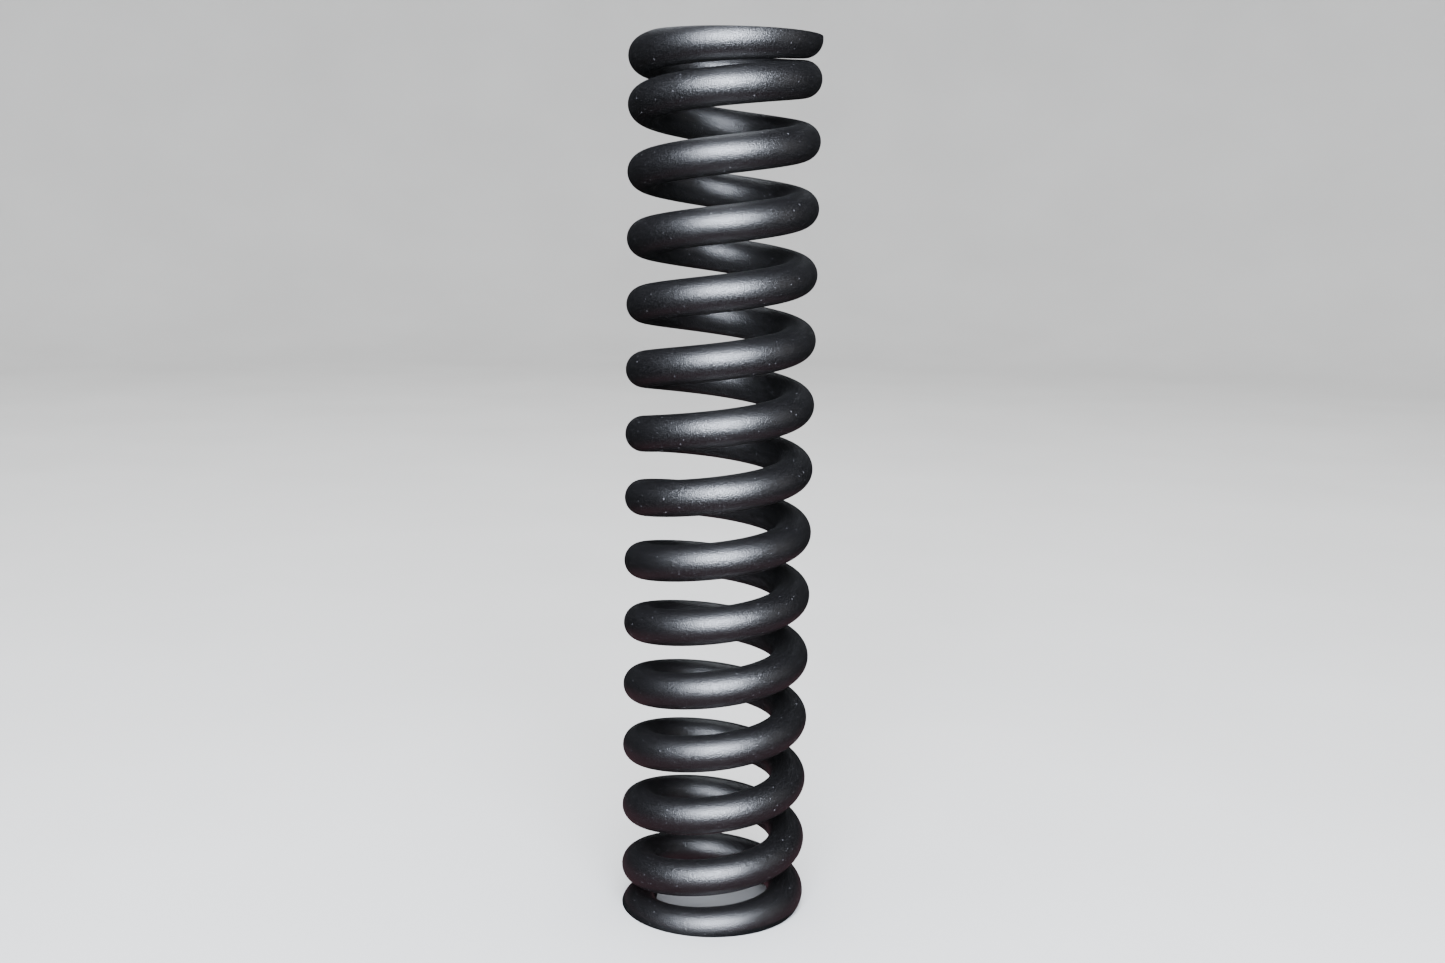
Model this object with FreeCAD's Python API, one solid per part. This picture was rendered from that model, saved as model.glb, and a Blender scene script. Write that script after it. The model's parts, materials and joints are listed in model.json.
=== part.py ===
"""Helical compression spring with closed and ground ends.

Round wire, right-hand wound, standing on its ground bottom end. The axis is Z and the
bottom bearing face lies at Z = 0. Dimensions are in millimetres, angles in degrees.

The wire is one unbroken length on the real spring. Here it is divided at the left and
right of every coil, so that each half coil can turn about the wire's own centre as the
wire twists under load. Every cut is a round face square to the wire's path in plan.
"""
import FreeCAD, Part
import math
import os

# Driving dimensions
WIRE_DIAMETER = 12.0
MEAN_DIAMETER = 49.9
ACTIVE_PITCH = 21.16
CLOSED_PITCH = 12.05            # the closed coils lie 0.05 mm apart
TOTAL_TURNS = 14.98
BOTTOM_TIP_ANGLE = 101.0        # where the wire starts, counted from +X towards +Y
BOTTOM_TIP_THICKNESS = 1.95     # what grinding leaves of the wire at its start
TOP_TIP_THICKNESS = 3.7         # and at its end
BOTTOM_CLOSED_TURNS = 0.478     # turns wound at the closed pitch
BOTTOM_RAMP_TURNS = 0.91        # turns over which the pitch opens out
TOP_CLOSED_TURNS = 0.90
TOP_RAMP_TURNS = 1.024
SEAM_GAP = 0.2                  # gap between neighbouring half coils along the wire

WIRE_RADIUS = WIRE_DIAMETER / 2.0
MEAN_RADIUS = MEAN_DIAMETER / 2.0
TOP_TIP_ANGLE = BOTTOM_TIP_ANGLE + 360.0 * TOTAL_TURNS
START_HEIGHT = BOTTOM_TIP_THICKNESS - WIRE_RADIUS   # wire centre at the bottom tip

FIRST_SEAM = 180                # the first cut after the bottom tip
LAST_SEAM = 5400                # the last cut before the top tip
ROOT_END = 540                  # the wire leaves the bottom coil here
CAP_START = 5040                # and meets the top coil here
STEP_ANGLE = 10.0               # spacing of the points that guide the wire


def ramp_rise(turns, length):
    """Integral of the smooth step from 0 to 1 that takes the given number of turns."""
    if turns <= 0.0:
        return 0.0
    share = min(turns / length, 1.0)
    inside = length * (share ** 3 - share ** 4 / 2.0)
    return inside + max(turns - length, 0.0)


def rise_from_tip(turns, closed, ramp):
    """Height of the wire above its tip, with the pitch opening out once."""
    opened = ramp_rise(turns - closed, ramp)
    return CLOSED_PITCH * turns + (ACTIVE_PITCH - CLOSED_PITCH) * opened


def wire_height(angle):
    """Height of the wire's centre at a winding angle counted through all the coils."""
    turns = (angle - BOTTOM_TIP_ANGLE) / 360.0
    middle = TOTAL_TURNS / 2.0
    lower = min(turns, middle)
    height = START_HEIGHT + rise_from_tip(lower, BOTTOM_CLOSED_TURNS, BOTTOM_RAMP_TURNS)
    if turns > middle:
        half = rise_from_tip(middle, TOP_CLOSED_TURNS, TOP_RAMP_TURNS)
        left = rise_from_tip(TOTAL_TURNS - turns, TOP_CLOSED_TURNS, TOP_RAMP_TURNS)
        height += half - left
    return height


FREE_LENGTH = wire_height(TOP_TIP_ANGLE) - WIRE_RADIUS + TOP_TIP_THICKNESS


def wire_point(angle):
    """Point on the wire's centre line."""
    turn = math.radians(angle)
    x = MEAN_RADIUS * math.cos(turn)
    y = MEAN_RADIUS * math.sin(turn)
    return FreeCAD.Vector(x, y, wire_height(angle))


def coil_piece(start, end, seam_side):
    """Solid wire between two winding angles, its section round in the plane of the axis."""
    count = max(4, int(round((end - start) / STEP_ANGLE)))
    step = (end - start) / count
    angles = [start + step * index for index in range(-2, count + 3)]
    curve = Part.BSplineCurve()
    curve.interpolate(Points=[wire_point(angle) for angle in angles], Parameters=angles)
    spine = Part.Wire([curve.toShape(start, end)])

    turn = math.radians(start)
    along = FreeCAD.Vector(-math.sin(turn), math.cos(turn), 0.0)
    circle = Part.Circle(wire_point(start), along, WIRE_RADIUS)
    circle.XAxis = FreeCAD.Vector(0.0, 0.0, seam_side)
    section = Part.Wire([circle.toShape()])

    sweep = Part.BRepOffsetAPI.MakePipeShell(spine)
    sweep.setBiNormalMode(FreeCAD.Vector(0.0, 0.0, 1.0))
    sweep.add(section, False, False)
    sweep.build()
    sweep.makeSolid()
    return sweep.shape()


def ground(shape):
    """Grind off what stands below the bottom bearing face or above the top one."""
    width = 2.0 * MEAN_DIAMETER
    corner = FreeCAD.Vector(-width / 2.0, -width / 2.0, 0.0)
    between_faces = Part.makeBox(width, width, FREE_LENGTH, corner)
    return shape.common(between_faces)


def half_coil_name(seam):
    """Name of the half coil that starts at a cut: its number from below and its side."""
    number = (seam - ROOT_END) // 360 + 1
    side = "front" if seam % 360 == 180 else "back"
    return "active_coil_%02d_%s" % (number, side)


def all_pieces():
    """Names and winding angles of every length of wire, from the bottom up."""
    pieces = [
        ("bottom_tip", BOTTOM_TIP_ANGLE, FIRST_SEAM),
        ("bottom_end_coil_front", FIRST_SEAM, FIRST_SEAM + 180),
        ("bottom_end_coil_back", FIRST_SEAM + 180, ROOT_END),
    ]
    for seam in range(ROOT_END, CAP_START, 180):
        pieces.append((half_coil_name(seam), seam, seam + 180))
    pieces += [
        ("top_end_coil_back", CAP_START, CAP_START + 180),
        ("top_end_coil_front", CAP_START + 180, LAST_SEAM),
        ("top_tip", LAST_SEAM, TOP_TIP_ANGLE),
    ]
    return pieces


os.makedirs("parts", exist_ok=True)
half_gap = math.degrees(SEAM_GAP / 2.0 / MEAN_RADIUS)
for name, start, end in all_pieces():
    if start > BOTTOM_TIP_ANGLE:
        start += half_gap
    if end < TOP_TIP_ANGLE:
        end -= half_gap
    seam_side = 1.0 if start < ROOT_END else -1.0
    shape = coil_piece(start, end, seam_side)
    if start < ROOT_END or end > CAP_START:
        shape = ground(shape)
    shape.exportStep("parts/%s.step" % name)
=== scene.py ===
"""Looks of the coil spring: black coated round wire with ground ends.

The wire is meshed in the same half coils as the CAD, each riding on its own body. Each
ends on the ring that the next one starts from, so the wire shows no joints. Lengths are
in metres.
"""
import json
import math

import bmesh
import bpy
from mathutils import Matrix, Vector


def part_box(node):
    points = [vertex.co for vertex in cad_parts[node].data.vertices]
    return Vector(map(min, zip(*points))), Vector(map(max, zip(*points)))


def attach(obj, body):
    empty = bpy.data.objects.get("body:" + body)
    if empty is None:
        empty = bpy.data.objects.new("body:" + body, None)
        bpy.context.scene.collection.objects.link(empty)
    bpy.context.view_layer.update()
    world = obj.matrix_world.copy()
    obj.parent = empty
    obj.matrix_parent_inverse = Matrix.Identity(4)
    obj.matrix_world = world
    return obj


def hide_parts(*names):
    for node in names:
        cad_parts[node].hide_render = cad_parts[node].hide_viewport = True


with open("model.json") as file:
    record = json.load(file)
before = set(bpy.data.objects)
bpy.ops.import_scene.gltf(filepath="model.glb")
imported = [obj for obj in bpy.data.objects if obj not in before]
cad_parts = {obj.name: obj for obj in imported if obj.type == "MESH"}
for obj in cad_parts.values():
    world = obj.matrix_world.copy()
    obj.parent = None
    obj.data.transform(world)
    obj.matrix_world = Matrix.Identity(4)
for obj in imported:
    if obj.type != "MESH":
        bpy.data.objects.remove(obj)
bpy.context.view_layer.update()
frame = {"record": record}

# The wire's path. Winding angles are in degrees and count through all the coils. The
# values that the frame doesn't give repeat the CAD's own.
TOTAL_TURNS = 14.98
BOTTOM_TIP_ANGLE = 101.0        # where the wire starts, counted from +X towards +Y
BOTTOM_TIP_THICKNESS = 0.00195  # what grinding leaves of the wire at its start
CLOSED_PITCH = 0.01205
BOTTOM_CLOSED_TURNS = 0.478     # turns wound at the closed pitch
BOTTOM_RAMP_TURNS = 0.91        # turns over which the pitch opens out
TOP_CLOSED_TURNS = 0.90
TOP_RAMP_TURNS = 1.024
ROOT_END = 540                  # the wire leaves the bottom coil here
CAP_START = 5040                # and meets the top coil here

BODIES = frame["record"]["behaviour"]["bodies"]
HINGES = [joint["pos_m"] for joint in frame["record"]["behaviour"]["joints"]]
MIDDLE_HINGE = 12               # hinges count from below, two to a coil
MEAN_RADIUS = abs(HINGES[0][0])
WIRE_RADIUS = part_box("active_coil_06_front")[1].x - MEAN_RADIUS
ACTIVE_PITCH = HINGES[MIDDLE_HINGE + 2][2] - HINGES[MIDDLE_HINGE][2]
FREE_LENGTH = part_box("top_end_coil_front")[1].z
TOP_TIP_ANGLE = BOTTOM_TIP_ANGLE + 360.0 * TOTAL_TURNS

# The wire's mesh
RING_STEP = 2.5                 # degrees of winding between rings
ARC_POINTS = 44                 # points on the round of the wire in every ring
FLAT_POINTS = 12                # points across the side that may be ground
LOWEST_CORNER = math.radians(-72.0)     # the first point is no lower round the wire
SAME_HEIGHT = 1e-7              # points this near to a ground face lie in it


def ramp_rise(turns, length):
    """Integral of the smooth step from 0 to 1 that takes the given number of turns."""
    if turns <= 0.0:
        return 0.0
    share = min(turns / length, 1.0)
    inside = length * (share ** 3 - share ** 4 / 2.0)
    return inside + max(turns - length, 0.0)


def rise_from_tip(turns, closed, ramp):
    """Height of the wire above its tip, with the pitch opening out once."""
    opened = ramp_rise(turns - closed, ramp)
    return CLOSED_PITCH * turns + (ACTIVE_PITCH - CLOSED_PITCH) * opened


def wire_height(angle):
    """Height of the wire's centre at a winding angle."""
    turns = (angle - BOTTOM_TIP_ANGLE) / 360.0
    middle = TOTAL_TURNS / 2.0
    lower = min(turns, middle)
    height = BOTTOM_TIP_THICKNESS - WIRE_RADIUS
    height += rise_from_tip(lower, BOTTOM_CLOSED_TURNS, BOTTOM_RAMP_TURNS)
    if turns > middle:
        half = rise_from_tip(middle, TOP_CLOSED_TURNS, TOP_RAMP_TURNS)
        left = rise_from_tip(TOTAL_TURNS - turns, TOP_CLOSED_TURNS, TOP_RAMP_TURNS)
        height += half - left
    return height


def ground_height(ground_side):
    """Height of the bottom ground face for -1, of the top one for 1."""
    return 0.0 if ground_side < 0 else FREE_LENGTH


def ring(angle, ground_side):
    """Points and normals round the wire at one winding angle.

    ground_side is -1 in the lower half of the spring and 1 in the upper half. The first
    ARC_POINTS lie on the round of the wire. The rest go back to the first along the
    ground face, or along the round where grinding doesn't reach.
    """
    turn = math.radians(angle)
    height = wire_height(angle)
    radial = Vector((math.cos(turn), math.sin(turn), 0.0))
    inward = Vector((0.0, 0.0, -ground_side))
    centre = radial * MEAN_RADIUS + Vector((0.0, 0.0, height))
    cut = (height - ground_height(ground_side)) * ground_side / WIRE_RADIUS
    corner = max(LOWEST_CORNER, math.asin(max(cut, -1.0)))
    points, normals = [], []
    for index in range(ARC_POINTS):
        around = corner + (math.pi - 2.0 * corner) * index / (ARC_POINTS - 1)
        out = radial * math.cos(around) + inward * math.sin(around)
        points.append(centre + out * WIRE_RADIUS)
        normals.append(out)
    for index in range(1, FLAT_POINTS + 1):
        share = index / (FLAT_POINTS + 1)
        around = math.pi - corner + (math.pi + 2.0 * corner) * share
        if math.sin(around) > cut:
            out = radial * math.cos(around) + inward * math.sin(around)
            normals.append(out)
        else:
            out = radial * (math.cos(corner) * (2.0 * share - 1.0)) + inward * cut
            normals.append(-inward)
        points.append(centre + out * WIRE_RADIUS)
    return points, normals


def add_faces(build, rings):
    """Skin a run of rings and close both ends."""
    verts = [[build.verts.new(point) for point in points] for points, _ in rings]
    count = len(verts[0])
    for first, second in zip(verts, verts[1:]):
        for index in range(count):
            after = (index + 1) % count
            build.faces.new((first[index], first[after], second[after], second[index]))
    build.faces.new(verts[0])
    build.faces.new(list(reversed(verts[-1])))


def set_shading(mesh, rings, ground_side):
    """Shade the round with its exact normals, and ground faces and ends as flat."""
    normals = [normal for _, ring_normals in rings for normal in ring_normals]
    plane = ground_height(ground_side)
    shading = []
    for face in mesh.polygons:
        face.use_smooth = True
        end = len(face.vertices) > 4
        heights = [mesh.vertices[vertex].co.z for vertex in face.vertices]
        flat = end or all(abs(height - plane) < SAME_HEIGHT for height in heights)
        for corner in face.loop_indices:
            normal = normals[mesh.loops[corner].vertex_index]
            shading.append(tuple(face.normal) if flat else tuple(normal))
    mesh.normals_split_custom_set(shading)


def coil_mesh(name, start, end, ground_side):
    """Closed mesh of the wire between two winding angles."""
    count = max(2, int(round((end - start) / RING_STEP)))
    angles = [start + (end - start) * step / count for step in range(count + 1)]
    rings = [ring(angle, ground_side) for angle in angles]
    build = bmesh.new()
    add_faces(build, rings)
    bmesh.ops.recalc_face_normals(build, faces=build.faces)
    mesh = bpy.data.meshes.new(name)
    build.to_mesh(mesh)
    build.free()
    set_shading(mesh, rings, ground_side)
    return mesh


def new_material(name):
    """A node material with nothing in it but its output and main shader."""
    material = bpy.data.materials.new(name)
    material.use_nodes = True
    nodes = material.node_tree.nodes
    nodes.clear()
    shader = nodes.new("ShaderNodeBsdfPrincipled")
    output = nodes.new("ShaderNodeOutputMaterial")
    material.node_tree.links.new(shader.outputs["BSDF"], output.inputs["Surface"])
    return material, shader


def noise(tree, scale, detail):
    """Noise fixed to the object. The scale is in features to the metre."""
    texture = tree.nodes.new("ShaderNodeTexNoise")
    texture.inputs["Scale"].default_value = scale
    texture.inputs["Detail"].default_value = detail
    place = tree.nodes.new("ShaderNodeTexCoord").outputs["Object"]
    tree.links.new(place, texture.inputs["Vector"])
    return texture.outputs["Fac"]


def colour_ramp(tree, source, stops):
    """Colour from a value between 0 and 1, given as (value, (red, green, blue)) pairs."""
    ramp = tree.nodes.new("ShaderNodeValToRGB")
    elements = ramp.color_ramp.elements
    for index, (value, colour) in enumerate(stops):
        element = elements[index] if index < len(elements) else elements.new(value)
        element.position = value
        element.color = (*colour, 1.0)
    tree.links.new(source, ramp.inputs["Fac"])
    return ramp.outputs["Color"]


def bump(tree, height, strength, distance):
    """Bump from a height between 0 and 1, over the distance in metres."""
    node = tree.nodes.new("ShaderNodeBump")
    node.inputs["Strength"].default_value = strength
    node.inputs["Distance"].default_value = distance
    tree.links.new(height, node.inputs["Height"])
    return node


def black_coat():
    """Satin black powder coat: orange peel, a fine grain in its gloss and a few pale specks."""
    material, shader = new_material("black_coat")
    tree = material.node_tree
    links = tree.links
    grain = noise(tree, scale=2800.0, detail=1.0)
    peel = noise(tree, scale=900.0, detail=2.0)
    specks = noise(tree, scale=1300.0, detail=0.0)

    tone = colour_ramp(tree, specks, [
        (0.30, (0.0012, 0.0011, 0.0014)),
        (0.80, (0.0024, 0.0022, 0.0026)),
        (0.86, (0.10, 0.10, 0.11)),
    ])
    links.new(tone, shader.inputs["Base Color"])
    gloss = colour_ramp(tree, grain, [
        (0.34, (0.28, 0.28, 0.28)),
        (0.66, (0.50, 0.50, 0.50)),
    ])
    links.new(gloss, shader.inputs["Roughness"])

    fine = bump(tree, grain, strength=1.0, distance=0.00013)
    coarse = bump(tree, peel, strength=0.4, distance=0.0001)
    links.new(fine.outputs["Normal"], coarse.inputs["Normal"])
    links.new(coarse.outputs["Normal"], shader.inputs["Normal"])
    shader.inputs["Specular IOR Level"].default_value = 1.0
    shader.inputs["IOR"].default_value = 1.65
    return material


def pale_paper():
    """Pale matt paper with hardly any variation in tone."""
    material, shader = new_material("pale_paper")
    tree = material.node_tree
    fibre = noise(tree, scale=6.0, detail=4.0)
    tone = colour_ramp(tree, fibre, [
        (0.3, (0.50, 0.50, 0.495)),
        (0.7, (0.53, 0.53, 0.525)),
    ])
    tree.links.new(tone, shader.inputs["Base Color"])
    shader.inputs["Roughness"].default_value = 0.9
    return material


def half_coil_limits(name):
    """Winding angles at which an active half coil starts and ends."""
    number, side = name.split("_")[2:]
    start = ROOT_END + 360 * (int(number) - 1) + (180 if side == "back" else 0)
    return start, start + 180


def wire_lengths():
    """Name, body and winding angles of every length of wire."""
    ends = {
        "bottom_tip": (BOTTOM_TIP_ANGLE, 180),
        "bottom_end_coil_front": (180, 360),
        "bottom_end_coil_back": (360, ROOT_END),
        "top_end_coil_back": (CAP_START, CAP_START + 180),
        "top_end_coil_front": (CAP_START + 180, CAP_START + 360),
        "top_tip": (CAP_START + 360, TOP_TIP_ANGLE),
    }
    for body, members in BODIES.items():
        for member in members:
            start, end = ends[member] if member in ends else half_coil_limits(member)
            yield member, body, start, end


def add_object(name, data):
    """New object in the scene."""
    item = bpy.data.objects.new(name, data)
    bpy.context.scene.collection.objects.link(item)
    return item


coat = black_coat()
for member, body, start, end in wire_lengths():
    ground_side = -1 if start < TOP_TIP_ANGLE / 2.0 else 1
    mesh = coil_mesh(member + "_wire", start, end, ground_side)
    mesh.materials.append(coat)
    piece = add_object(member + "_wire", mesh)
    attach(piece, body)
    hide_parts(member)


def studio_floor(radius, curve, height, sides=96, curve_steps=12):
    """Round pale floor that curves up into a wall all the way round."""
    profile = [(radius * 0.5, 0.0), (radius, 0.0)]
    for step in range(1, curve_steps + 1):
        turn = math.radians(90.0 * step / curve_steps)
        profile.append((radius + curve * math.sin(turn), curve * (1.0 - math.cos(turn))))
    profile.append((radius + curve, height))
    angles = [2.0 * math.pi * side / sides for side in range(sides)]
    build = bmesh.new()
    centre = build.verts.new((0.0, 0.0, 0.0))
    rows = []
    for out, up in profile:
        rows.append([build.verts.new((out * math.cos(a), out * math.sin(a), up)) for a in angles])
    for side in range(sides):
        after = (side + 1) % sides
        build.faces.new((centre, rows[0][side], rows[0][after]))
        for lower, upper in zip(rows, rows[1:]):
            build.faces.new((lower[side], upper[side], upper[after], lower[after]))
    mesh = bpy.data.meshes.new("floor")
    build.to_mesh(mesh)
    build.free()
    for face in mesh.polygons:
        face.use_smooth = True
    mesh.materials.append(pale_paper())
    return add_object("floor", mesh)


# The coat mirrors the lights and the dim surroundings, but not the floor.
floor = studio_floor(radius=2.0, curve=0.8, height=3.2)
floor.visible_glossy = False

MIDDLE = Vector((0.0, 0.0, FREE_LENGTH / 2.0))
BOUNCE_HEIGHT = 0.002


def soft_light(name, around, lift, distance, size, power, colour):
    """Rectangular studio light aimed at the middle of the spring.

    It stands around degrees from the front towards the right, and lift degrees up.
    """
    around = math.radians(around)
    lift = math.radians(lift)
    light = bpy.data.lights.new(name, "AREA")
    light.shape = "RECTANGLE"
    light.size, light.size_y = size
    light.energy = power
    light.color = colour
    away = Vector((
        math.sin(around) * math.cos(lift),
        -math.cos(around) * math.cos(lift),
        math.sin(lift),
    ))
    lamp = add_object(name, light)
    lamp.location = MIDDLE + away * distance
    lamp.rotation_euler = away.to_track_quat("Z", "Y").to_euler()
    return lamp


soft_light("key", around=2.0, lift=28.0, distance=0.78,
           size=(0.66, 0.56), power=31.0, colour=(0.82, 0.88, 1.0))
soft_light("right", around=75.0, lift=15.0, distance=1.0,
           size=(0.5, 0.8), power=0.45, colour=(1.0, 0.93, 0.90))
soft_light("rear", around=180.0, lift=60.0, distance=1.2,
           size=(0.9, 0.5), power=5.0, colour=(0.88, 0.93, 1.0))
# The room light overhead is for the floor and stays out of the coat's reflections.
room = soft_light("room", around=0.0, lift=90.0, distance=2.4,
                  size=(2.6, 2.6), power=190.0, colour=(1.0, 1.0, 1.0))
room.visible_glossy = False
# A weak pink light just above the floor shines up on the undersides of the coils.
bounce = soft_light("bounce", around=0.0, lift=-90.0, distance=MIDDLE.z - BOUNCE_HEIGHT,
                    size=(0.4, 0.4), power=0.07, colour=(1.0, 0.45, 0.60))
bounce.visible_camera = False

world = bpy.data.worlds.new("studio")
world.use_nodes = True
background = world.node_tree.nodes["Background"]
background.inputs["Color"].default_value = (0.9, 0.94, 1.0, 1.0)
background.inputs["Strength"].default_value = 0.012
bpy.context.scene.world = world

# The camera stands in front, a little below the top of the spring, and looks slightly down.
LOOK_DOWN = math.radians(9.196)
LEAN = math.radians(0.967)
CAMERA_DISTANCE = 0.560
AIM_RIGHT = 0.0013              # the view is centred this far from the spring's middle
AIM_UP = 0.0012
SENSOR_WIDTH = 36.0             # millimetres, as is the focal length
FOCAL_LENGTH = 42.18

right = Vector((
    math.cos(LEAN),
    math.sin(LEAN) * math.sin(LOOK_DOWN),
    math.sin(LEAN) * math.cos(LOOK_DOWN),
))
ahead = Vector((0.0, math.cos(LOOK_DOWN), -math.sin(LOOK_DOWN)))
up = right.cross(ahead)
camera_place = MIDDLE - ahead * CAMERA_DISTANCE + right * AIM_RIGHT + up * AIM_UP
turned = Matrix((right, up, -ahead)).transposed().to_4x4()

camera_data = bpy.data.cameras.new("camera")
camera_data.sensor_width = SENSOR_WIDTH
camera_data.lens = FOCAL_LENGTH
camera_data.clip_start = 0.01
camera = add_object("camera", camera_data)
camera.matrix_world = Matrix.Translation(camera_place) @ turned
bpy.context.scene.camera = camera
